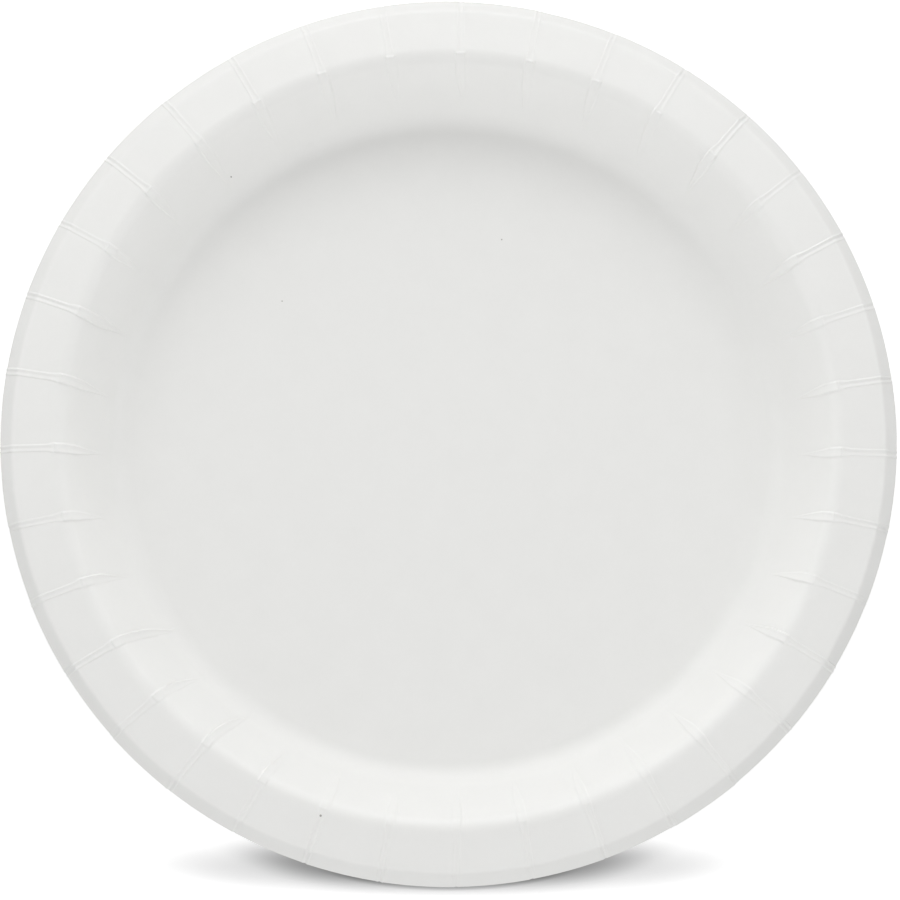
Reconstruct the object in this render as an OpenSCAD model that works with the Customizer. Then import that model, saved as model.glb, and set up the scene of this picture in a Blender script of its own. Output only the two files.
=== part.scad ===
// Round pressed paper plate, in millimetres.
// One disc of coated board is drawn to shape between dies. The board to spare round the rim is laid
// over in narrow radial pleats, which stand a little proud on the food side and show as shallow
// creases on the underside. The origin is the centre of the underside, where the plate rests.

/* [Plate] */
// Diameter across the lip, over all
plate_d = 228.6; // [200:0.1:260]
// Height from the table to the crest of the shoulder, between the pleats
plate_h = 15.5; // [14:0.5:20]
// Thickness of the board
board_t = 0.45; // [0.35:0.05:0.7]

/* [Sidewall] */
// Width of the sidewall in plan, from the well's corner to the shoulder's corner
wall_w = 14; // [11:0.5:20]
// Bend radius where the well meets the sidewall
foot_bend = 8; // [4:0.5:12]
// Bend radius where the sidewall meets the flange
shoulder_bend = 4.5; // [2:0.5:6]

/* [Rim] */
// Width of the flange in plan, from the shoulder's corner to the lip's corner
flange_w = 12.8; // [9:0.1:16]
// Slope of the flange, down towards the edge, in degrees
flange_fall = 10; // [4:1:16]
// Width of the turned-down lip in plan
lip_w = 2.4; // [1.6:0.1:4]
// Slope of the lip, down towards the edge, in degrees
lip_fall = 48; // [35:1:60]
// Bend radius where the flange meets the lip
lip_bend = 1.2; // [0.8:0.1:2]

/* [Pleats] */
// Number of pleats round the rim
pleats = 36; // [24:1:48]
// Turn of the first pleat from the X axis, in degrees
pleat_turn = -0.3; // [-5:0.1:5]
// Width of a pleat over the shoulder, the flange and the lip
pleat_w = 2.2; // [1:0.1:3]
// Distance in plan from the well's corner to the pointed end of a pleat
pleat_start = 5; // [3:0.5:7]
// How far a pleat stands proud over the shoulder, where it is pressed least
pleat_rise = 0.3; // [0.1:0.05:0.4]
// How far a pleat stands proud on the lip, where it is pressed flat
pleat_rise_lip = 0.12; // [0.05:0.01:0.2]
// Depth of the crease below a pleat, at the shoulder
crease_depth = 0.18; // [0.05:0.01:0.2]
// Depth of the crease below a pleat, at the lip
crease_depth_lip = 0.08; // [0.04:0.01:0.15]
// Width of the crease below a pleat
crease_w = 1.2; // [0.6:0.1:2]
// Distance that the scored pattern lies to the right of the plate's centre
score_x = 2.5; // [-4:0.1:4]
// Distance that the scored pattern lies behind the plate's centre
score_y = -3.2; // [-4:0.1:4]

/* [Hidden] */
$fn = 180;

// Steps along each bend of the section
foot_steps = 6;
shoulder_steps = 5;
lip_steps = 3;
// Distance by which a cut runs past what it cuts
past = 0.6;
// Distance by which a pleat ends short of the cut edge
edge_gap = 0.1;

// The section's middle line is a chain of straight stretches between corners, given as
// [radius, height]. Its edge lies inside the plate's by what half the board's thickness reaches out.
edge_radius = plate_d / 2 - board_t / 2 * sin(lip_fall);
lip_radius = edge_radius - lip_w;
shoulder_radius = lip_radius - flange_w;
well_radius = shoulder_radius - wall_w;
well_z = board_t / 2;

// Height that the shoulder's bend takes off its corner, by the slope of the sidewall
function crest_loss(slope) =
    shoulder_bend * (cos((slope - flange_fall) / 2) / cos((slope + flange_fall) / 2) - 1);

// The corner lies above the rounded crest, and that makes the wall a little steeper in turn.
rise = plate_h - board_t;
wall_slope = atan2(rise + crest_loss(atan2(rise, wall_w)), wall_w);
shoulder_z = well_z + rise + crest_loss(wall_slope);

centre_point = [0, well_z];
well_corner = [well_radius, well_z];
shoulder_corner = [shoulder_radius, shoulder_z];
lip_corner = [lip_radius, shoulder_z - flange_w * tan(flange_fall)];
edge_point = lip_corner + lip_w * [1, -tan(lip_fall)];

function unit(v) = v / norm(v);

// The direction square to a stretch from a to b, towards the food side
function outward(a, b) = let (along = unit(b - a)) [-along[1], along[0]];

// The arc that rounds a corner between the corners before and after it, on the line that lies d
// towards the food side of the middle line. Lines at every d share one centre, so the board keeps
// its thickness round the bend.
function bend(before, corner, after, radius, steps, d) =
    let (
        back = unit(before - corner),
        on = unit(after - corner),
        half = acos(back * on) / 2,
        hub = corner + unit(back + on) * radius / sin(half),
        hollow = cross(back, on) < 0 ? 1 : -1,
        line_radius = radius - hollow * d,
        spoke = -hollow * outward(before, corner),
        first = atan2(spoke[1], spoke[0]),
        turn = hollow * (180 - 2 * half)
    )
    [for (i = [0 : steps])
        let (a = first + turn * i / steps) hub + line_radius * [cos(a), sin(a)]];

function foot(d) = bend(centre_point, well_corner, shoulder_corner, foot_bend, foot_steps, d);
function shoulder(d) =
    bend(well_corner, shoulder_corner, lip_corner, shoulder_bend, shoulder_steps, d);
function lip(d) = bend(shoulder_corner, lip_corner, edge_point, lip_bend, lip_steps, d);

// The end of the lip, moved by d towards the food side and by on past the edge
function lip_end(d, on) =
    edge_point + outward(lip_corner, edge_point) * d + unit(edge_point - lip_corner) * on;

// One face of the board, from the centre to the edge
function face(d) = concat([centre_point + [0, d]], foot(d), shoulder(d), lip(d), [lip_end(d, 0)]);

function reversed(list) = [for (i = [len(list) - 1 : -1 : 0]) list[i]];

// The drawn board without its pleats
module board() {
    rotate_extrude()
        polygon(concat(face(board_t / 2), reversed(face(-board_t / 2))));
}

// A ring that follows the food side and stands proud of it. It starts inside the board where the
// foot's bend ends, comes out halfway up the sidewall, and flattens towards the lip.
module proud_ring() {
    rotate_extrude()
        polygon(concat(
            [foot(0)[foot_steps]],
            shoulder(board_t / 2 + pleat_rise),
            lip(board_t / 2 + pleat_rise_lip),
            [lip_end(board_t / 2 + pleat_rise_lip, -edge_gap), lip_end(0, -3 * edge_gap)],
            reversed(lip(0)),
            reversed(shoulder(0))
        ));
}

// A ring below the underside that reaches a little way into it, deepest at the shoulder
module crease_ring() {
    below = -board_t / 2 - past;
    rotate_extrude()
        polygon(concat(
            [foot(below)[foot_steps]],
            shoulder(crease_depth - board_t / 2),
            lip(crease_depth_lip - board_t / 2),
            [lip_end(crease_depth_lip - board_t / 2, past), lip_end(below, past)],
            reversed(lip(below)),
            reversed(shoulder(below))
        ));
}

// Radial strips as wide as w, one for each pleat, that come to a point on the sidewall
module strips(w) {
    tip = well_radius + pleat_start;
    full = shoulder_radius - shoulder_bend / 2;
    end = plate_d / 2 + norm([score_x, score_y]) + past;
    linear_extrude(height = plate_h + 2 * past)
        translate([score_x, score_y])
            for (i = [0 : pleats - 1])
                rotate(pleat_turn + i * 360 / pleats)
                    polygon([
                        [tip, 0],
                        [full, -w / 2],
                        [end, -w / 2],
                        [end, w / 2],
                        [full, w / 2]
                    ]);
}

// The whole plate: the board with its pleats laid over, in one piece
module plate() {
    color([0.9, 0.9, 0.89])
        difference() {
            union() {
                board();
                intersection() {
                    proud_ring();
                    strips(pleat_w);
                }
            }
            intersection() {
                crease_ring();
                strips(crease_w);
            }
        }
}

plate();
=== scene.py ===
"""A round pressed paper plate of coated board, dressed and lit.

The plate lies flat on its underside. One disc of board is drawn to shape, and the board to spare
round its rim is laid over in narrow radial pleats. This script models the two faces, the cut edge
and every pleat as one closed mesh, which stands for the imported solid.
"""

import logging
import math
import random
from dataclasses import dataclass, field
from enum import Enum
from typing import Mapping, Optional, Sequence, Union

import bpy
import numpy as np
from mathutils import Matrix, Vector

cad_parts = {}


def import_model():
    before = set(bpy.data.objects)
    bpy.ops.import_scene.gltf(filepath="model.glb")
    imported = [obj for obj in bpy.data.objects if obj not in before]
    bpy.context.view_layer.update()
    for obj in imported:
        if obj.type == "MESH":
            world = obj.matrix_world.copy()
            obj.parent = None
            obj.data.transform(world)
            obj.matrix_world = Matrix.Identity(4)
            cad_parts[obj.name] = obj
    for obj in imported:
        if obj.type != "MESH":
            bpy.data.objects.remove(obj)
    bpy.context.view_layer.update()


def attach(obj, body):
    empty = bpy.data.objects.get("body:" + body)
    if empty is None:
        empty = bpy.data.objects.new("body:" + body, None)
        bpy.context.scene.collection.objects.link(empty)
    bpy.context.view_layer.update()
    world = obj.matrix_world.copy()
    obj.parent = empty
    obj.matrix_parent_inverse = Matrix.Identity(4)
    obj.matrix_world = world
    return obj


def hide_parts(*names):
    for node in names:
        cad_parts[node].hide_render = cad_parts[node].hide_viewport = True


LOG = logging.getLogger("paper_plate")

MM = 0.001

# Side of the square picture, in pixels
PICTURE_SIDE = 900


def smooth(low: float, high: float, value: float) -> float:
    """Returns 0 up to low and 1 from high on, with a smooth rise between them."""
    share = min(max((value - low) / (high - low), 0.0), 1.0)
    return share * share * (3.0 - 2.0 * share)


def towards(azimuth: float, elevation: float) -> Vector:
    """Returns the direction at angles in degrees, from the X axis and above the table."""
    around, up = math.radians(azimuth), math.radians(elevation)
    return Vector((math.cos(up) * math.cos(around), math.cos(up) * math.sin(around), math.sin(up)))


class Face(Enum):
    """The two faces of the board, by the side of the middle line that they lie on."""

    FOOD = 1.0
    UNDER = -1.0


@dataclass(frozen=True)
class Point:
    """A point of the section's middle line, in millimetres.

    Attributes:
        radius: Distance from the plate's axis.
        height: Height above the table.
    """

    radius: float
    height: float

    def place(self) -> Vector:
        """Returns the point as a vector."""
        return Vector((self.radius, self.height))


@dataclass(frozen=True)
class Corner(Point):
    """A corner of the middle line.

    Attributes:
        bend: Radius of the bend that rounds the corner, or 0 at an end of the line.
        rows: Rows of the mesh along the bend.
        rows_after: Rows of the mesh between this bend and the next.
    """

    bend: float = 0.0
    rows: int = 0
    rows_after: int = 0


@dataclass(frozen=True)
class Row(Point):
    """One row of the mesh, with the direction square to the middle line.

    Attributes:
        across: Share of the direction towards the food side that points outwards.
        up: Share of that direction that points upwards.
    """

    across: float
    up: float


@dataclass(frozen=True)
class Section:
    """The drawn board's section, from the centre to the cut edge, in millimetres and degrees.

    Attributes:
        diameter: Diameter of the plate, over all.
        height: Height from the table to the crest of the shoulder.
        board: Thickness of the board.
        wall_width: Width of the sidewall in plan, from corner to corner.
        flange_width: Width of the flange in plan, from corner to corner.
        flange_fall: Slope of the flange, down towards the edge.
        lip_width: Width of the lip in plan.
        lip_fall: Slope of the lip, down towards the edge.
        foot_bend: Bend radius between the well and the sidewall.
        shoulder_bend: Bend radius between the sidewall and the flange.
        lip_bend: Bend radius between the flange and the lip.
    """

    diameter: float = 228.6
    height: float = 15.5
    board: float = 0.45
    wall_width: float = 14.0
    flange_width: float = 12.3
    flange_fall: float = 10.0
    lip_width: float = 2.9
    lip_fall: float = 43.5
    foot_bend: float = 8.0
    shoulder_bend: float = 4.5
    lip_bend: float = 1.8

    @property
    def lip_radius(self) -> float:
        """Radius of the lip's corner."""
        return self.edge_radius - self.lip_width

    @property
    def edge_radius(self) -> float:
        """Radius of the middle line at the cut edge."""
        return self.diameter / 2 - self.board / 2 * math.sin(math.radians(self.lip_fall))

    @property
    def shoulder_radius(self) -> float:
        """Radius of the shoulder's corner."""
        return self.lip_radius - self.flange_width

    @property
    def well_radius(self) -> float:
        """Radius of the corner between the well and the sidewall."""
        return self.shoulder_radius - self.wall_width

    def crest_loss(self, slope: float) -> float:
        """Returns what the shoulder's bend takes off its corner's height, at a wall's slope in radians."""
        fall = math.radians(self.flange_fall)
        return self.shoulder_bend * (math.cos((slope - fall) / 2) / math.cos((slope + fall) / 2) - 1)

    def corners(self) -> list[Corner]:
        """Places the corners of the middle line.

        Returns:
            The corners, from the centre to the cut edge.
        """
        base = self.board / 2
        rise = self.height - self.board
        slope = math.atan2(rise + self.crest_loss(math.atan2(rise, self.wall_width)), self.wall_width)
        shoulder = base + rise + self.crest_loss(slope)
        lip = shoulder - self.flange_width * math.tan(math.radians(self.flange_fall))
        edge = lip - self.lip_width * math.tan(math.radians(self.lip_fall))
        return [
            Corner(0.0, base),
            Corner(self.well_radius, base, self.foot_bend, rows=10, rows_after=12),
            Corner(self.shoulder_radius, shoulder, self.shoulder_bend, rows=26, rows_after=9),
            Corner(self.lip_radius, lip, self.lip_bend, rows=6, rows_after=4),
            Corner(self.edge_radius, edge),
        ]

    def rows(self, thinned: int = 1) -> list[Row]:
        """Samples the middle line past the flat of the well.

        Args:
            thinned: Number that the rows between the ends are divided by.

        Returns:
            The rows from the start of the foot's bend to the cut edge.
        """
        corners = self.corners()
        rows: list[Row] = []
        for before, corner, after in zip(corners, corners[1:], corners[2:]):
            arc = self.arc(before, corner, after, corner.rows // thinned)
            if rows:
                count = before.rows_after // thinned
                rows += self.straight(rows[-1].place(), arc[0].place(), count, arc[0])
            rows += arc
        edge = corners[-1].place()
        rows += self.straight(rows[-1].place(), edge, corners[-2].rows_after // thinned, rows[-1])
        return rows + [Row(edge.x, edge.y, rows[-1].across, rows[-1].up)]

    @staticmethod
    def straight(start: Vector, end: Vector, count: int, like: Row) -> list[Row]:
        """Returns a number of rows between two points, with the direction of a row like them."""
        points = [start.lerp(end, (i + 1) / (count + 1)) for i in range(count)]
        return [Row(p.x, p.y, like.across, like.up) for p in points]

    @staticmethod
    def arc(before: Corner, corner: Corner, after: Corner, count: int) -> list[Row]:
        """Rounds one corner.

        Args:
            before: The corner before it.
            corner: The corner to round.
            after: The corner after it.
            count: Number of steps along the bend.

        Returns:
            The rows along the bend, with both its ends.
        """
        back = (before.place() - corner.place()).normalized()
        onward = (after.place() - corner.place()).normalized()
        half = back.angle(onward) / 2
        hub = corner.place() + (back + onward).normalized() * (corner.bend / math.sin(half))
        hollow = 1.0 if back.x * onward.y - back.y * onward.x < 0 else -1.0
        start = math.atan2(-back.y, -back.x)
        turn = hollow * (math.pi - 2 * half)
        rows = []
        for i in range(count + 1):
            way = start + turn * i / count
            across, up = -math.sin(way), math.cos(way)
            point = hub - hollow * corner.bend * Vector((across, up))
            rows.append(Row(point.x, point.y, across, up))
        return rows


@dataclass(frozen=True)
class Pleat:
    """One pleat as it was pressed. Lengths are in millimetres.

    Attributes:
        turn: Direction of its line, in radians.
        strength: How far it stands proud, as a share of a full pleat.
        wall: Share of that height which it keeps on the sidewall.
        start: Plan radius of its inner end.
        hook: How far its inner end bends to the side.
        lean: How much higher its first edge stands than its second on the sidewall, as a share.
        tick: Height of the little ridge where it ends at the shoulder.
        sway: How far the lip between it and the next pleat leans out.
        notch: Depth of the nick that it makes in the lip.
        fold: Depth of the open fold along its middle, at the lip.
    """

    turn: float
    strength: float
    wall: float
    start: float
    hook: float
    lean: float
    tick: float
    sway: float
    notch: float
    fold: float


@dataclass
class PleatedRim:
    """The pleats round the rim, whose lines meet beside the plate's centre, with lengths in millimetres.

    Attributes:
        section: The board's section.
        count: Number of pleats.
        first_turn: Direction of the first pleat, in degrees.
        centre_x: How far right of the plate's centre the pleats' lines meet.
        centre_y: How far behind the plate's centre they meet.
        width: Width of a pleat on the sidewall.
        width_flange: Width of a pleat on the flange and the lip.
        tail: Distance from a pleat's inner end to its full width.
        rise: Height of a full pleat just inside the shoulder.
        rise_flange: Its height on the flange, where it is pressed flat.
        rise_lip: Its height on the lip.
        crease_width: Width of the crease below a pleat.
        crease: Greatest depth of that crease.
        step_out: Distance from the shoulder's corner to the step where the pleats are pressed flat.
        strong: The pleats that stand out most.
        faint: The pleats that stand out least, at the back.
        ironed: The pleats that are pressed flatter on the sidewall, at the front.
        starts: Plan radius of the inner end of the longest pleats.
        hooks: How far that end bends to the side.
        opened: The pleats whose folds are open widest.
        seed: Seed of the pleats' small differences.
        pleats: The pleats in order.
    """

    section: Section
    count: int = 36
    first_turn: float = -0.3
    centre_x: float = 2.5
    centre_y: float = -3.2
    width: float = 2.3
    width_flange: float = 1.7
    tail: float = 7.0
    rise: float = 0.3
    rise_flange: float = 0.13
    rise_lip: float = 0.2
    crease_width: float = 1.2
    crease: float = 0.12
    step_out: float = 1.3
    strong: tuple[int, ...] = (1, 3, 5, 16, 17, 18, 20, 21, 23, 33, 35)
    faint: tuple[int, ...] = (6, 7, 8, 9, 10, 11, 12)
    ironed: tuple[int, ...] = (25, 26, 27, 28, 29, 30, 31, 32)
    starts: Mapping[int, float] = field(
        default_factory=lambda: {20: 88.2, 21: 83.8, 22: 86.6, 23: 84.8, 24: 88.5}
    )
    hooks: Mapping[int, float] = field(default_factory=lambda: {20: 1.2, 21: 3.2, 22: 2.2, 23: 3.2, 24: 1.4})
    opened: tuple[int, ...] = (1, 3, 5, 12, 14, 16, 21, 23, 25, 26, 28, 35)
    seed: int = 36
    pleats: list[Pleat] = field(default_factory=list)

    # The pleat's profile across: offset as a share of half its width, and share of its height
    PROFILE = (
        (-1.7, 0.0), (-1.42, -0.05), (-1.24, -0.04), (-1.1, 0.35),
        (-0.96, 0.8), (-0.84, 1.0), (-0.66, 0.9), (-0.3, 0.72),
        (0.0, 0.66), (0.3, 0.66), (0.66, 0.82), (0.84, 0.95),
        (0.96, 0.72), (1.08, 0.2), (1.2, -0.16), (1.36, -0.1),
        (1.7, 0.0),
    )
    # Columns of the mesh between two pleats
    PANEL_COLUMNS = 5

    # Height of a pleat, as a share of a full one
    STRONG_HEIGHT = 1.0
    PLAIN_HEIGHT = 0.75
    FAINT_HEIGHT = 0.6
    # Share of its height that an ironed pleat keeps on the sidewall
    IRONED_WALL = 0.5
    # Lean of the longest pleats
    LONG_LEAN = 0.7
    # Distance from the well's corner to where the shorter pleats start at the earliest
    FIRST_START = 2.2
    # Ranges of the pleats' small differences
    HEIGHT_RANGE = (0.85, 1.15)
    START_RANGE = (0.0, 3.0)
    HOOK_RANGE = (-0.9, 0.9)
    LEAN_RANGE = (-0.4, 0.4)
    TICK_RANGE = (0.0, 0.07)
    FAINT_TICK_RANGE = (0.14, 0.22)
    SWAY_RANGE = (-0.16, 0.16)
    NOTCH_RANGE = (0.0, 0.15)
    FOLD_RANGE = (0.12, 0.2)
    OPENED_FOLD_RANGE = (0.22, 0.26)

    # Share of its width that a pleat has at its inner end
    POINT_WIDTH = 0.22
    # Distance past the step over which a pleat narrows
    NARROWING = 2.5
    # How much further out than its full width a pleat has its full height
    HEIGHT_LAG = 1.0
    # Greatest share of a pleat's length, counted inwards from the shoulder, that its hook grows over
    HOOK_LIMIT = 1.3
    # Where the columns leave their even spacing: before the foot's bend, and past the well's corner
    EVEN_BEFORE = 2.0
    PLACED_PAST = 1.5
    # Half the width of the step, and of the change of height at the lip's corner
    STEP_REACH = 0.18
    LIP_REACH = 0.6
    # Distances before the step between which the little ridge rises
    RIDGE_FROM = 0.9
    RIDGE_TO = 0.25
    # Share of half a pleat's width that its open fold takes up to either side
    FOLD_REACH = 0.66
    # Share of its depth that a fold has on the flange, and the distance past the step to get there
    FOLD_ON_FLANGE = 0.65
    FOLD_OPENING = 0.6
    # Distances before and past the lip's corner between which a fold opens fully
    FOLD_BEFORE_LIP = 2.5
    FOLD_PAST_LIP = 0.3
    # Distances before and past the shoulder's corner between which the lean fades
    LEAN_BEFORE = 2.0
    LEAN_PAST = 1.0
    # Distance before the lip's corner at which the lip's waves start
    WAVES_BEFORE = 0.8
    # Share of half a pleat's width over which one wave passes into the next
    WAVE_REACH = 1.2
    # How far the crease's flanks lie within and past its width, as shares of half a pleat's width
    FLANK_WITHIN = 0.2
    FLANK_PAST = 0.25

    def __post_init__(self) -> None:
        """Draws the pleats' small differences."""
        draw = random.Random(self.seed)
        start = self.section.well_radius + self.FIRST_START
        for i in range(self.count):
            strong, faint = i in self.strong, i in self.faint
            full = self.STRONG_HEIGHT if strong else self.FAINT_HEIGHT if faint else self.PLAIN_HEIGHT
            self.pleats.append(
                Pleat(
                    turn=math.radians(self.first_turn + 360.0 * i / self.count),
                    strength=full * draw.uniform(*self.HEIGHT_RANGE),
                    wall=self.IRONED_WALL if i in self.ironed else 1.0,
                    start=self.starts.get(i, start + draw.uniform(*self.START_RANGE)),
                    hook=self.hooks.get(i, draw.uniform(*self.HOOK_RANGE)),
                    lean=self.LONG_LEAN if i in self.starts else draw.uniform(*self.LEAN_RANGE),
                    tick=draw.uniform(*(self.FAINT_TICK_RANGE if faint else self.TICK_RANGE)),
                    sway=draw.uniform(*self.SWAY_RANGE),
                    notch=draw.uniform(*self.NOTCH_RANGE),
                    fold=draw.uniform(*(self.OPENED_FOLD_RANGE if i in self.opened else self.FOLD_RANGE)),
                )
            )

    @property
    def columns(self) -> int:
        """Number of columns of the mesh, all round."""
        return self.count * (len(self.PROFILE) + self.PANEL_COLUMNS)

    @property
    def step_radius(self) -> float:
        """Radius of the step where the pleats are pressed flat."""
        return self.section.shoulder_radius + self.step_out

    def spread(self, pleat: Pleat, radius: float) -> float:
        """Works out how wide a pleat is at a radius.

        Args:
            pleat: The pleat.
            radius: The plan radius.

        Returns:
            Half its width.
        """
        opened = min(max((radius - pleat.start) / self.tail, self.POINT_WIDTH), 1.0)
        pressed = smooth(self.step_radius, self.step_radius + self.NARROWING, radius)
        return (self.width + (self.width_flange - self.width) * pressed) / 2 * opened

    def crossing(self, pleat: Pleat, aside: float, radius: float) -> float:
        """Finds where a line beside a pleat crosses a circle round the plate's axis.

        Args:
            pleat: The pleat.
            aside: Distance of the line from the pleat's own.
            radius: Radius of the circle.

        Returns:
            The direction of the crossing from the plate's axis, in radians.
        """
        along = Vector((math.cos(pleat.turn), math.sin(pleat.turn)))
        square = Vector((-along.y, along.x))
        foot = Vector((self.centre_x, self.centre_y)) + square * aside
        back = foot.dot(along)
        way = -back + math.sqrt(back * back + radius * radius - foot.length_squared)
        point = foot + along * way
        return pleat.turn + math.remainder(math.atan2(point.y, point.x) - pleat.turn, math.tau)

    def directions(self, radius: float) -> np.ndarray:
        """Places the mesh's columns on one row.

        Args:
            radius: Radius of the row.

        Returns:
            One direction for each column, in radians.
        """
        near: list[list[float]] = []
        full = self.section.shoulder_radius
        for pleat in self.pleats:
            inward = max(full - radius, 0.0) / (full - pleat.start)
            bent = pleat.hook * min(inward, self.HOOK_LIMIT) ** 2
            half = self.spread(pleat, radius)
            near.append([self.crossing(pleat, bent + half * c, radius) for c, _ in self.PROFILE])
        turns: list[float] = []
        for i, own in enumerate(near):
            following = near[(i + 1) % self.count][0]
            if i == self.count - 1:
                following += math.tau
            turns += own
            step = (following - own[-1]) / (self.PANEL_COLUMNS + 1)
            turns += [own[-1] + step * (j + 1) for j in range(self.PANEL_COLUMNS)]
        placed = np.array(turns)
        even = placed[0] + math.tau * np.arange(self.columns) / self.columns
        inner = self.section.well_radius - self.section.foot_bend - self.EVEN_BEFORE
        outer = self.section.well_radius + self.PLACED_PAST
        return even + (placed - even) * smooth(inner, outer, radius)

    def along(self, pleat: Pleat, radius: float) -> float:
        """Works out how proud a pleat stands at a radius.

        Args:
            pleat: The pleat.
            radius: The plan radius.

        Returns:
            The height.
        """
        step, lip = self.step_radius, self.section.lip_radius
        inward = min(max((radius - pleat.start) / (self.tail + self.HEIGHT_LAG), 0.0), 1.0)
        grown = inward * self.rise * pleat.wall
        pressed = smooth(step - self.STEP_REACH, step + self.STEP_REACH, radius)
        lifted = smooth(lip - self.LIP_REACH, lip + self.LIP_REACH, radius)
        height = grown + (self.rise_flange - grown) * pressed
        ridge = smooth(step - self.RIDGE_FROM, step - self.RIDGE_TO, radius) * (1.0 - pressed)
        return (height + (self.rise_lip - height) * lifted) * pleat.strength + ridge * pleat.tick

    def unfolded(self, radius: float) -> float:
        """Works out how far the pleats' folds have opened at a radius.

        Args:
            radius: The plan radius.

        Returns:
            The share of their full depth.
        """
        step, lip = self.step_radius, self.section.lip_radius
        on_flange = smooth(step - self.STEP_REACH, step + self.FOLD_OPENING, radius)
        on_lip = smooth(lip - self.FOLD_BEFORE_LIP, lip + self.FOLD_PAST_LIP, radius)
        return self.FOLD_ON_FLANGE * on_flange + (1.0 - self.FOLD_ON_FLANGE) * on_lip

    def waves(self, radius: float) -> float:
        """Returns the share of the lip's waves that shows at a radius."""
        return smooth(self.section.lip_radius - self.WAVES_BEFORE, self.section.edge_radius, radius)

    def swayed(self, number: int, offset: float) -> float:
        """Returns how far the edge leans out beside a pleat, at an offset as in its profile."""
        before, own = self.pleats[number - 1].sway, self.pleats[number].sway
        return before + (own - before) * smooth(-self.WAVE_REACH, self.WAVE_REACH, offset)

    def proud(self, radius: float) -> np.ndarray:
        """Works out the food side's relief on one row.

        Args:
            radius: Radius of the row.

        Returns:
            How far each column stands proud of the plain section.
        """
        relief: list[float] = []
        waves = self.waves(radius)
        shoulder = self.section.shoulder_radius
        on_wall = 1.0 - smooth(shoulder - self.LEAN_BEFORE, shoulder + self.LEAN_PAST, radius)
        for i, pleat in enumerate(self.pleats):
            height = self.along(pleat, radius)
            fold = pleat.fold * self.unfolded(radius)
            for c, share in self.PROFILE:
                tilt = 1.0 - pleat.lean * c * on_wall
                dip = fold * max(1.0 - abs(c) / self.FOLD_REACH, 0.0)
                relief.append(height * tilt * share - dip + (self.swayed(i, c) - pleat.notch * share) * waves)
            relief += [pleat.sway * waves] * self.PANEL_COLUMNS
        return np.array(relief)

    def creased(self, radius: float) -> np.ndarray:
        """Works out the underside's relief on one row.

        Args:
            radius: Radius of the row.

        Returns:
            How far each column lies above the plain underside.
        """
        relief: list[float] = []
        waves = self.waves(radius)
        share = self.crease_width / self.width
        for i, pleat in enumerate(self.pleats):
            depth = min(self.along(pleat, radius), self.crease)
            for c, _ in self.PROFILE:
                groove = 1.0 - smooth(share - self.FLANK_WITHIN, share + self.FLANK_PAST, abs(c))
                relief.append(depth * groove + self.swayed(i, c) * waves)
            relief += [pleat.sway * waves] * self.PANEL_COLUMNS
        return np.array(relief)


Value = Union[float, "Signal"]
SocketValue = Union[float, Sequence[float], "Signal"]


class Signal:
    """An output of a shader node that sums are written with."""

    def __init__(self, tree: "ShaderTree", socket: bpy.types.NodeSocket) -> None:
        """Keeps the output and the tree that it belongs to."""
        self.tree = tree
        self.socket = socket

    def maths(self, operation: str, *values: Value) -> "Signal":
        """Returns the result of a Math node on the values."""
        sockets = dict(enumerate(values))
        return self.tree.node("ShaderNodeMath", {"operation": operation}, sockets)["Value"]

    def __add__(self, other: Value) -> "Signal":
        """Adds a value."""
        return self.maths("ADD", self, other)

    def __radd__(self, other: Value) -> "Signal":
        """Adds to a value."""
        return self.maths("ADD", other, self)

    def __sub__(self, other: Value) -> "Signal":
        """Takes a value off."""
        return self.maths("SUBTRACT", self, other)

    def __rsub__(self, other: Value) -> "Signal":
        """Is taken off a value."""
        return self.maths("SUBTRACT", other, self)

    def __mul__(self, other: Value) -> "Signal":
        """Multiplies by a value."""
        return self.maths("MULTIPLY", self, other)

    def __rmul__(self, other: Value) -> "Signal":
        """Multiplies a value."""
        return self.maths("MULTIPLY", other, self)

    def below(self, edge: float, soft: float) -> "Signal":
        """Marks where the signal is under an edge.

        Args:
            edge: The value at which the mark starts to fade.
            soft: The distance past it over which the mark fades.

        Returns:
            1 under the edge, falling to 0 past it.
        """
        settings = {"interpolation_type": "SMOOTHSTEP"}
        sockets = {"Value": self, "From Min": edge, "From Max": edge + soft, "To Min": 1.0, "To Max": 0.0}
        return self.tree.node("ShaderNodeMapRange", settings, sockets)["Result"]


class PlacedNode:
    """A node in a tree, whose outputs are taken by name."""

    def __init__(self, tree: "ShaderTree", node: bpy.types.Node) -> None:
        """Keeps the node and its tree."""
        self.tree = tree
        self.node = node

    def __getitem__(self, name: str) -> Signal:
        """Returns an output."""
        return Signal(self.tree, self.node.outputs[name])


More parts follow.
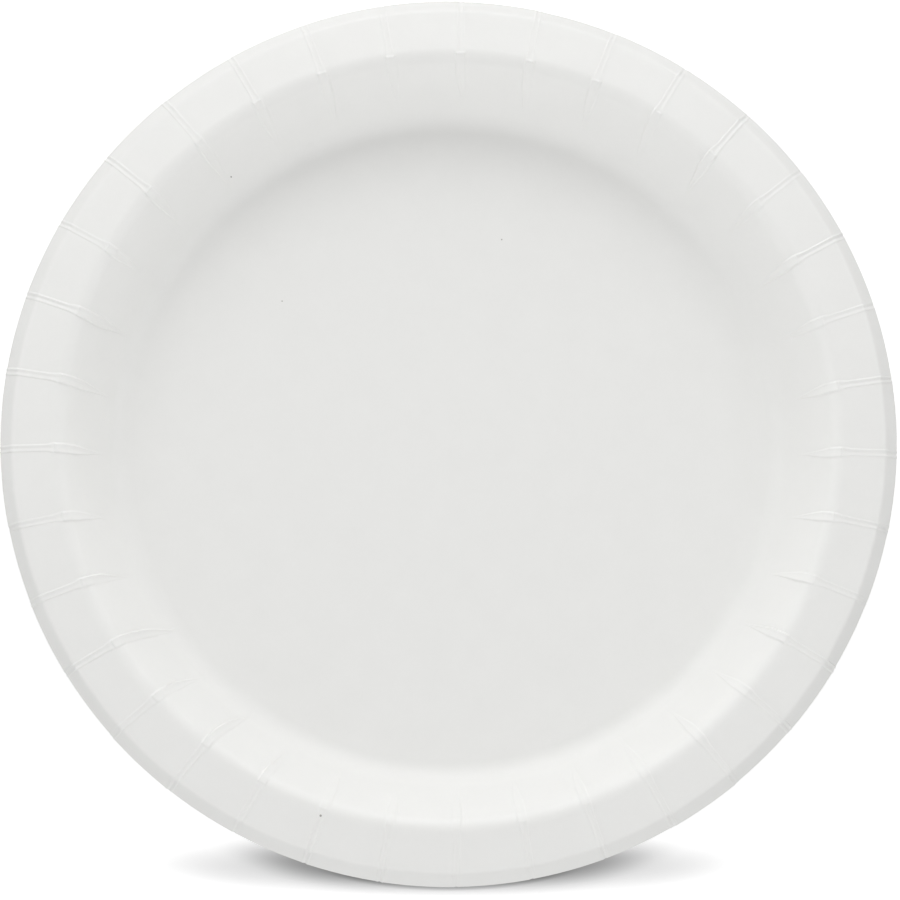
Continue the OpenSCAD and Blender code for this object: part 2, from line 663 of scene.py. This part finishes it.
class ShaderTree:
    """A node tree that is written as expressions."""

    def __init__(self, tree: bpy.types.NodeTree) -> None:
        """Empties the tree."""
        self.tree = tree
        tree.nodes.clear()

    def node(
        self,
        kind: str,
        settings: Optional[Mapping[str, object]] = None,
        sockets: Optional[Mapping[Union[str, int], SocketValue]] = None,
    ) -> PlacedNode:
        """Adds a node.

        Args:
            kind: The node's type.
            settings: What is set on the node itself, first.
            sockets: The value or the link of each input.

        Returns:
            The node.
        """
        node = self.tree.nodes.new(kind)
        for name, setting in (settings or {}).items():
            setattr(node, name, setting)
        for name, value in (sockets or {}).items():
            self.feed(node.inputs[name], value)
        return PlacedNode(self, node)

    def feed(self, target: bpy.types.NodeSocket, value: SocketValue) -> None:
        """Gives an input a value or a link.

        Args:
            target: The input.
            value: The value, or the signal to link.
        """
        if isinstance(value, Signal):
            self.tree.links.new(value.socket, target)
        else:
            target.default_value = value

    def vector(self, operation: str, output: str, *values: SocketValue) -> Signal:
        """Returns the output, Vector or Value, of a Vector Math node on the values."""
        settings = {"operation": operation}
        return self.node("ShaderNodeVectorMath", settings, dict(enumerate(values)))[output]

    def seen(self) -> Signal:
        """Returns 1 for what the camera sees, straight, mirrored or through glass."""
        path = self.node("ShaderNodeLightPath")
        return path["Is Camera Ray"] + path["Is Glossy Ray"] + path["Is Transmission Ray"]

    def mix(self, share: Value, first: SocketValue, second: SocketValue) -> Signal:
        """Mixes two colours.

        Args:
            share: Share of the second colour.
            first: The first colour.
            second: The second colour.

        Returns:
            The mixed colour.
        """
        placed = self.node("ShaderNodeMix", {"data_type": "RGBA"})
        for name, value in (("Factor_Float", share), ("A_Color", first), ("B_Color", second)):
            self.feed(next(s for s in placed.node.inputs if s.identifier == name), value)
        result = next(s for s in placed.node.outputs if s.identifier == "Result_Color")
        return Signal(self, result)


@dataclass(frozen=True)
class Speck:
    """A dark speck in the coating, by its place in plan and its radius, in millimetres."""

    x: float
    y: float
    radius: float


@dataclass(frozen=True)
class BoardFinish:
    """The look of one face of the board.

    Attributes:
        name: Name of the material.
        colour: Its colour.
        cloud: The colour of its slightly darker clouds.
        roughness: Its roughness.
        roughness_change: How much the roughness varies.
        tooth: Depth of the fibre pattern, in millimetres.
        tooth_size: Size of the fibre pattern, in millimetres.
        specks: Dark specks in it.
    """

    name: str
    colour: tuple[float, float, float]
    cloud: tuple[float, float, float]
    roughness: float
    roughness_change: float
    tooth: float
    tooth_size: float
    specks: tuple[Speck, ...] = ()

    SPECK_COLOUR = (0.32, 0.31, 0.29, 1.0)
    # Share of a speck's radius that is fully dark
    SPECK_CORE = 0.6
    # Sizes, in millimetres, and numbers of finer layers of the noise patterns
    CLOUD_SIZE = 9.0
    CLOUD_DETAIL = 4.0
    FINE_SIZE = 0.9
    FINE_DETAIL = 3.0
    TOOTH_DETAIL = 5.0
    NOISE_ROUGHNESS = 0.55
    # Shares of the two patterns in the colour, the level that is taken off, and the contrast
    CLOUD_SHARE = 0.7
    FINE_SHARE = 0.3
    PATTERN_LOW = 0.2
    PATTERN_CONTRAST = 1.6

    def build(self) -> bpy.types.Material:
        """Makes the material.

        Returns:
            The material.
        """
        material = bpy.data.materials.new(self.name)
        material.use_nodes = True
        tree = ShaderTree(material.node_tree)
        place = tree.node("ShaderNodeTexCoord")["Object"]
        clouds = self.noise(tree, place, self.CLOUD_SIZE, self.CLOUD_DETAIL)
        fine = self.noise(tree, place, self.FINE_SIZE, self.FINE_DETAIL)
        both = clouds * self.CLOUD_SHARE + fine * self.FINE_SHARE
        share = (both - self.PATTERN_LOW) * self.PATTERN_CONTRAST
        colour = tree.mix(share, (*self.colour, 1.0), (*self.cloud, 1.0))
        for speck in self.specks:
            colour = tree.mix(self.speck_mask(tree, place, speck), colour, self.SPECK_COLOUR)
        roughness = self.roughness + (fine - 0.5) * self.roughness_change
        fibres = self.noise(tree, place, self.tooth_size, self.TOOTH_DETAIL)
        raised = {"Strength": 1.0, "Distance": self.tooth * MM, "Height": fibres}
        bump = tree.node("ShaderNodeBump", {}, raised)["Normal"]
        looks = {"Base Color": colour, "Roughness": roughness, "Normal": bump}
        shader = tree.node("ShaderNodeBsdfPrincipled", {}, looks)["BSDF"]
        tree.node("ShaderNodeOutputMaterial", {}, {"Surface": shader})
        return material

    @staticmethod
    def noise(tree: ShaderTree, place: Signal, size: float, detail: float) -> Signal:
        """Adds a noise pattern.

        Args:
            tree: The tree to add it to.
            place: The place that it is worked out at, in metres.
            size: Size of its largest patches, in millimetres.
            detail: Number of finer layers.

        Returns:
            The pattern's height, from 0 to 1.
        """
        sockets = {
            "Vector": place,
            "Scale": 1.0 / (size * MM),
            "Detail": detail,
            "Roughness": BoardFinish.NOISE_ROUGHNESS,
        }
        return tree.node("ShaderNodeTexNoise", {}, sockets)["Fac"]

    @staticmethod
    def speck_mask(tree: ShaderTree, place: Signal, speck: Speck) -> Signal:
        """Marks one speck.

        Args:
            tree: The tree to add it to.
            place: The place that it is worked out at, in metres.
            speck: The speck.

        Returns:
            1 inside the speck and 0 outside it.
        """
        in_plan = tree.vector("MULTIPLY", "Vector", place, (1.0, 1.0, 0.0))
        away = tree.vector("DISTANCE", "Value", in_plan, (speck.x * MM, speck.y * MM, 0.0))
        core = speck.radius * BoardFinish.SPECK_CORE * MM
        return away.below(core, speck.radius * MM - core)


COATED = BoardFinish(
    name="coated_face",
    colour=(0.79, 0.79, 0.775),
    cloud=(0.765, 0.765, 0.75),
    roughness=0.5,
    roughness_change=0.06,
    tooth=0.006,
    tooth_size=0.5,
    specks=(
        Speck(-32.3, -96.7, 0.36),
        Speck(13.7, 54.0, 0.22),
        Speck(-42.8, 37.9, 0.2),
        Speck(-55.9, 69.5, 0.24),
    ),
)
UNCOATED = BoardFinish(
    name="uncoated_face",
    colour=(0.76, 0.755, 0.735),
    cloud=(0.72, 0.715, 0.69),
    roughness=0.8,
    roughness_change=0.1,
    tooth=0.02,
    tooth_size=0.7,
)
CUT = BoardFinish(
    name="cut_edge",
    colour=(0.74, 0.73, 0.70),
    cloud=(0.66, 0.65, 0.62),
    roughness=0.9,
    roughness_change=0.05,
    tooth=0.03,
    tooth_size=0.25,
)


@dataclass
class PressedPlate:
    """The plate: two faces of the board and the cut edge, in one closed mesh, with radii in millimetres.

    Attributes:
        section: The board's section.
        finishes: The finishes of the food side, the underside and the cut edge.
        well_rings: Radii of the rings where the columns of the rim are merged.
        centre_rings: Radii of the rings further in.
    """

    section: Section = field(default_factory=Section)
    finishes: tuple[BoardFinish, ...] = (COATED, UNCOATED, CUT)
    well_rings: tuple[float, ...] = (74.0, 64.0)
    centre_rings: tuple[float, ...] = (44.0, 30.0, 15.0)

    FOOD_SLOT = 0
    UNDER_SLOT = 1
    CUT_SLOT = 2
    # Number of columns that each ring of the well merges into one
    MERGE = 3
    # Number that the underside's rows are divided by
    THINNED = 2
    # Angle between two faces past which their edge is sharp, in degrees
    SHARP_ANGLE = 55.0

    def __post_init__(self) -> None:
        """Works out the rim and empties the mesh's lists."""
        self.rim = PleatedRim(self.section)
        self.vertices: list[tuple[float, float, float]] = []
        self.polygons: list[tuple[int, ...]] = []
        self.slots: list[int] = []

    def ring(self, radius: float, height: float, count: int, turn: float) -> list[int]:
        """Adds a ring of evenly spaced vertices.

        Args:
            radius: Radius of the ring.
            height: Height of the ring.
            count: Number of vertices.
            turn: Direction of the first, in radians.

        Returns:
            The vertices' numbers.
        """
        first = len(self.vertices)
        for i in range(count):
            way = turn + math.tau * i / count
            x, y = radius * math.cos(way), radius * math.sin(way)
            self.vertices.append((x * MM, y * MM, height * MM))
        return list(range(first, first + count))

    def row(self, row: Row, turns: np.ndarray, offset: np.ndarray) -> list[int]:
        """Adds one row of the pleated part.

        Args:
            row: The row of the section.
            turns: Direction of each column, in radians.
            offset: Distance of each column from the middle line.

        Returns:
            The vertices' numbers.
        """
        first = len(self.vertices)
        radius = row.radius + row.across * offset
        height = row.height + row.up * offset
        x, y = radius * np.cos(turns), radius * np.sin(turns)
        self.vertices += list(zip((x * MM).tolist(), (y * MM).tolist(), (height * MM).tolist()))
        return list(range(first, first + len(turns)))

    def band(self, inner: list[int], outer: list[int], face: Face, slot: int) -> None:
        """Joins two rings, of which the outer may have a whole number of times as many vertices.

        Args:
            inner: The inner ring.
            outer: The outer ring.
            face: The face that the band belongs to, which sets the way round.
            slot: The material's number.
        """
        times = len(outer) // len(inner)
        for i, vertex in enumerate(inner):
            after = inner[(i + 1) % len(inner)]
            along = [outer[(i * times + j) % len(outer)] for j in range(times + 1)]
            polygon = [vertex, *along, after]
            self.polygons.append(tuple(polygon if face is Face.FOOD else reversed(polygon)))
            self.slots.append(slot)

    def face(self, face: Face, slot: int) -> list[int]:
        """Adds one face of the board, from its middle to the cut edge.

        Args:
            face: Which face.
            slot: The material's number.

        Returns:
            The face's last row, at the cut edge.
        """
        rows = self.section.rows(1 if face is Face.FOOD else self.THINNED)
        half = self.section.board / 2
        level = rows[0].height + face.value * half
        turn = self.rim.directions(rows[0].radius - self.section.foot_bend)[0]
        count = self.rim.columns // self.MERGE ** len(self.well_rings)
        middle = len(self.vertices)
        self.vertices.append((0.0, 0.0, level * MM))
        inner = self.ring(self.centre_rings[-1], level, count, turn)
        for i, vertex in enumerate(inner):
            triangle = (middle, vertex, inner[(i + 1) % count])
            self.polygons.append(triangle if face is Face.FOOD else triangle[::-1])
            self.slots.append(slot)
        for radius in reversed(self.well_rings + self.centre_rings[:-1]):
            outer = self.ring(radius, level, count, turn)
            self.band(inner, outer, face, slot)
            inner = outer
            if radius in self.well_rings:
                count *= self.MERGE
        for row in rows:
            relief = self.rim.proud if face is Face.FOOD else self.rim.creased
            offset = face.value * half + relief(row.radius)
            outer = self.row(row, self.rim.directions(row.radius), offset)
            self.band(inner, outer, face, slot)
            inner = outer
        return inner

    def build(self) -> bpy.types.Object:
        """Makes the plate.

        Returns:
            The plate's object.
        """
        top = self.face(Face.FOOD, self.FOOD_SLOT)
        under = self.face(Face.UNDER, self.UNDER_SLOT)
        self.band(top, under, Face.FOOD, self.CUT_SLOT)
        mesh = bpy.data.meshes.new("pressed_plate")
        mesh.from_pydata(self.vertices, [], self.polygons)
        mesh.polygons.foreach_set("material_index", self.slots)
        for finish in self.finishes:
            mesh.materials.append(finish.build())
        mesh.validate()
        mesh.shade_smooth()
        mesh.set_sharp_from_angle(angle=math.radians(self.SHARP_ANGLE))
        plate = bpy.data.objects.new("pressed_plate", mesh)
        bpy.context.scene.collection.objects.link(plate)
        return plate


@dataclass(frozen=True)
class Softbox:
    """A soft lamp that points at the plate. Lengths are in metres.

    Attributes:
        name: Its name.
        azimuth: Its direction from the plate, in degrees from the X axis.
        elevation: Its height above the table, in degrees.
        power: Its power, in watts.
        distance: Its distance from the plate.
        width: Its width.
        depth: Its depth.
    """

    name: str
    azimuth: float
    elevation: float
    power: float
    distance: float = 1.2
    width: float = 1.3
    depth: float = 0.5

    def build(self) -> None:
        """Makes the lamp."""
        data = bpy.data.lights.new(self.name, "AREA")
        data.shape = "RECTANGLE"
        data.size = self.width
        data.size_y = self.depth
        data.energy = self.power
        lamp = bpy.data.objects.new(self.name, data)
        away = towards(self.azimuth, self.elevation)
        lamp.location = away * self.distance
        lamp.rotation_mode = "QUATERNION"
        lamp.rotation_quaternion = away.to_track_quat("Z", "Y")
        lamp.visible_camera = False
        bpy.context.scene.collection.objects.link(lamp)


@dataclass(frozen=True)
class Tabletop:
    """The pale table that the plate lies on. Lengths are in metres.

    Attributes:
        side: Length of its side.
        shade: Its colour under the lamps.
        glow: How much white it adds in the picture and in reflections.
        painted_shadow_shade: Its colour in the patch in front of the plate, without the glow. It is darker
            than its own colour: a painted shadow, over which the plate's real shadow also shows.
        shadow_place: Middle of that patch in front of the plate.
        shadow_reach: Half the patch's length and half its depth.
        shadow_soft: Where the patch starts to fade and where it ends, as shares of its reach.
        contact: Share of the patch that fades with the distance from the rim, so that the painted shadow is
            darkest beside the rim.
        rim_place: Middle of the circle that this distance is taken from.
        rim_radius: Radius of that circle.
        contact_reach: Distance over which that share fades.
        line: Share of the light that is taken off right beside the rim, in front of the plate, by a painted
            contact shadow.
        line_reach: Distance over which the line fades.
        line_length: Where the line starts to fade to either side and where it ends.
        bounce: Its colour for the light that it throws back on the plate.
    """

    side: float = 9.0
    shade: float = 0.85
    glow: float = 0.6
    painted_shadow_shade: float = 0.51
    shadow_place: tuple[float, float, float] = (-0.0021, -0.1079, 0.0)
    shadow_reach: tuple[float, float] = (0.08, 0.00663)
    shadow_soft: tuple[float, float] = (0.337, 1.44)
    contact: float = 0.394
    rim_place: tuple[float, float, float] = (0.0, 0.0017, 0.0)
    rim_radius: float = 0.1149
    contact_reach: float = 0.007
    line: float = 0.42
    line_reach: float = 0.0014
    line_length: tuple[float, float] = (0.022, 0.037)
    bounce: float = 0.04

    def build(self) -> bpy.types.Object:
        """Makes the tabletop.

        Returns:
            The tabletop's object.
        """
        half = self.side / 2
        corners = [(-half, -half, 0), (half, -half, 0), (half, half, 0), (-half, half, 0)]
        mesh = bpy.data.meshes.new("tabletop")
        mesh.from_pydata(corners, [], [(0, 1, 2, 3)])
        mesh.materials.append(self.material())
        table = bpy.data.objects.new("tabletop", mesh)
        bpy.context.scene.collection.objects.link(table)
        return table

    def material(self) -> bpy.types.Material:
        """Makes the tabletop's material.

        Returns:
            The material.
        """
        material = bpy.data.materials.new("table_white")
        material.use_nodes = True
        tree = ShaderTree(material.node_tree)
        place = tree.node("ShaderNodeTexCoord")["Object"]
        from_rim = tree.vector("DISTANCE", "Value", place, self.rim_place)
        glow = tree.node("ShaderNodeEmission", {}, {"Color": self.grey(self.glow)})["Emission"]
        white = tree.node("ShaderNodeAddShader", {}, {0: self.matt(tree, self.shade), 1: glow})["Shader"]
        # Painted shadow: in a patch in front of the plate the table turns a darker grey without its glow,
        # over the plate's real shadow.
        patch = self.painted_shadow_patch(tree, place, from_rim)
        shown = self.blend(tree, patch, white, self.matt(tree, self.painted_shadow_shade))
        # Painted contact shadow: a thin line of black is mixed in right beside the rim.
        line = self.painted_contact_shadow(tree, place, from_rim)
        shown = self.blend(tree, line, shown, self.matt(tree, 0.0))
        surface = self.blend(tree, tree.seen(), self.matt(tree, self.bounce), shown)
        tree.node("ShaderNodeOutputMaterial", {}, {"Surface": surface})
        return material

    def painted_shadow_patch(self, tree: ShaderTree, place: Signal, from_rim: Signal) -> Signal:
        """Marks the patch in front of the plate where the table is painted darker, a painted shadow, and
        where the plate's real shadow also shows without the glow.

        Args:
            tree: The tree to add it to.
            place: The place that it is worked out at.
            from_rim: Distance of that place from the middle of the rim's circle.

        Returns:
            1 in the patch's middle, falling to 0 at its edge.
        """
        half_length, half_depth = self.shadow_reach
        away = tree.vector("SUBTRACT", "Vector", place, self.shadow_place)
        share = tree.vector("MULTIPLY", "Vector", away, (1.0 / half_length, 1.0 / half_depth, 1.0))
        start, end = self.shadow_soft
        soft = tree.vector("LENGTH", "Value", share).below(start, end - start)
        close = from_rim.below(self.rim_radius, self.contact_reach)
        return soft * (1.0 - self.contact + close * self.contact)

    def painted_contact_shadow(self, tree: ShaderTree, place: Signal, from_rim: Signal) -> Signal:
        """Marks the painted contact shadow, a thin dark line right beside the rim, in front of the plate.

        Args:
            tree: The tree to add it to.
            place: The place that it is worked out at.
            from_rim: Distance of that place from the middle of the rim's circle.

        Returns:
            The share of the light that is lost at each place.
        """
        split = tree.node("ShaderNodeSeparateXYZ", {}, {"Vector": place})
        aside = split["X"].maths("ABSOLUTE", split["X"])
        start, end = self.line_length
        front = split["Y"].below(-self.rim_radius / 2, self.rim_radius / 4)
        along = aside.below(start, end - start) * front
        return from_rim.below(self.rim_radius, self.line_reach) * along * self.line

    @staticmethod
    def blend(tree: ShaderTree, share: Signal, first: Signal, second: Signal) -> Signal:
        """Mixes two surfaces by the share of the second."""
        return tree.node("ShaderNodeMixShader", {}, {0: share, 1: first, 2: second})["Shader"]

    @classmethod
    def matt(cls, tree: ShaderTree, level: float) -> Signal:
        """Adds a matt grey surface."""
        return tree.node("ShaderNodeBsdfDiffuse", {}, {"Color": cls.grey(level)})["BSDF"]

    @staticmethod
    def grey(level: float) -> tuple[float, float, float, float]:
        """Returns a grey."""
        return (level, level, level, 1.0)


@dataclass(frozen=True)
class SkyGlow:
    """A large soft bright part of the surround.

    Attributes:
        azimuth: Its direction from the plate, in degrees from the X axis.
        elevation: Its height above the table, in degrees.
        reach: Angle from its middle to its edge, in degrees.
        strength: Its strength in the middle.
    """

    azimuth: float
    elevation: float
    reach: float
    strength: float

    def build(self, tree: ShaderTree, direction: Signal) -> Signal:
        """Adds the bright part to the surround.

        Args:
            tree: The surround's tree.
            direction: The direction that is looked in.

        Returns:
            Its strength in that direction.
        """
        near = tree.vector("DOT_PRODUCT", "Value", direction, towards(self.azimuth, self.elevation))
        edge = math.cos(math.radians(self.reach))
        return (1.0 - near.below(edge, 1.0 - edge)) * self.strength


@dataclass(frozen=True)
class Sky:
    """The pale surround. It looks white, and lights the plate by its bright parts.

    Attributes:
        horizon: Its strength at the horizon, apart from the bright parts.
        horizon_reach: How far up that reaches, as the sine of the elevation.
        glows: Its bright parts.
    """

    horizon: float = 1.093
    horizon_reach: float = 0.3
    glows: tuple[SkyGlow, ...] = (
        SkyGlow(45.0, 15.0, 60.0, 0.198),
        SkyGlow(90.0, 20.0, 30.0, 1.41),
        SkyGlow(180.0, 15.0, 60.0, 0.531),
        SkyGlow(225.0, 15.0, 60.0, 0.681),
        SkyGlow(315.0, 15.0, 60.0, 1.027),
    )

    def build(self) -> None:
        """Makes the world."""
        world = bpy.data.worlds.new("surround")
        bpy.context.scene.world = world
        world.use_nodes = True
        tree = ShaderTree(world.node_tree)
        direction = tree.node("ShaderNodeTexCoord")["Generated"]
        up = tree.node("ShaderNodeSeparateXYZ", {}, {"Vector": direction})["Z"]
        light = up.below(0.0, self.horizon_reach) * self.horizon
        for glow in self.glows:
            light = light + glow.build(tree, direction)
        strength = light + tree.seen() * (1.0 - light)
        sockets = {"Color": (1.0, 1.0, 1.0, 1.0), "Strength": strength}
        sky = tree.node("ShaderNodeBackground", {}, sockets)["Background"]
        tree.node("ShaderNodeOutputWorld", {}, {"Surface": sky})


@dataclass(frozen=True)
class Studio:
    """Soft lamps round the plate, the surround and the table.

    Attributes:
        sky: The surround.
        softboxes: The lamps.
        table: The table.
    """

    sky: Sky = field(default_factory=Sky)
    softboxes: tuple[Softbox, ...] = (
        Softbox("back", 90.0, 22.0, 3.34),
        Softbox("back_high", 90.0, 32.0, 4.43),
        Softbox("back_left", 135.0, 30.0, 1.78),
        Softbox("back_right", 45.0, 30.0, 0.95),
        Softbox("front_left", 225.0, 50.0, 2.69),
        Softbox("front_right", 315.0, 50.0, 3.6),
    )
    table: Tabletop = field(default_factory=Tabletop)

    def build(self) -> None:
        """Makes the surround, the lamps and the tabletop."""
        self.sky.build()
        for softbox in self.softboxes:
            softbox.build()
        self.table.build()


@dataclass(frozen=True)
class Camera:
    """The camera, which looks down on the plate from a little in front of it.

    Attributes:
        tilt: Angle between the view and straight down, in degrees.
        distance: Distance from the middle of the rim, in metres.
        middle_x: Pixel column of the rim's centre in the picture.
        middle_y: Pixel row of the rim's centre in the picture.
        half_width: Half the plate's width in the picture, in pixels.
        film: Width of the film, in millimetres.
    """

    tilt: float = 9.0
    distance: float = 2.0
    middle_x: float = 448.5
    middle_y: float = 444.4
    half_width: float = 448.0
    film: float = 36.0

    def build(self, section: Section) -> None:
        """Makes the camera and frames the plate.

        Args:
            section: The plate's section.
        """
        radius = section.diameter / 2 * MM
        edge = section.corners()[-1].height * MM
        lean = math.radians(self.tilt)
        data = bpy.data.cameras.new("camera")
        data.sensor_width = self.film
        data.lens = self.film * (self.half_width / PICTURE_SIDE) * self.distance / radius
        far = radius * math.cos(lean) / (self.distance + radius * math.sin(lean))
        near = radius * math.cos(lean) / (self.distance - radius * math.sin(lean))
        lifted = (far - near) / 2 * data.lens / self.film * PICTURE_SIDE
        half = PICTURE_SIDE / 2
        data.shift_x = (half - self.middle_x) / PICTURE_SIDE
        data.shift_y = (lifted - (half - self.middle_y)) / PICTURE_SIDE
        camera = bpy.data.objects.new("camera", data)
        target = Vector((0.0, 0.0, edge))
        back = Vector((0.0, -math.sin(lean), math.cos(lean)))
        camera.location = target + back * self.distance
        camera.rotation_mode = "QUATERNION"
        camera.rotation_quaternion = back.to_track_quat("Z", "Y")
        bpy.context.scene.collection.objects.link(camera)
        bpy.context.scene.camera = camera


def main() -> None:
    """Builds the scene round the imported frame."""
    logging.basicConfig(level=logging.INFO, format="%(name)s: %(message)s")
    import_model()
    bpy.context.scene.view_settings.view_transform = "Standard"
    plate = PressedPlate()
    Camera().build(plate.section)
    Studio().build()
    piece = plate.build()
    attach(piece, "root")
    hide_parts("plate")
    LOG.info("%s: %d faces", piece.name, len(piece.data.polygons))


if __name__ == "__main__":
    main()
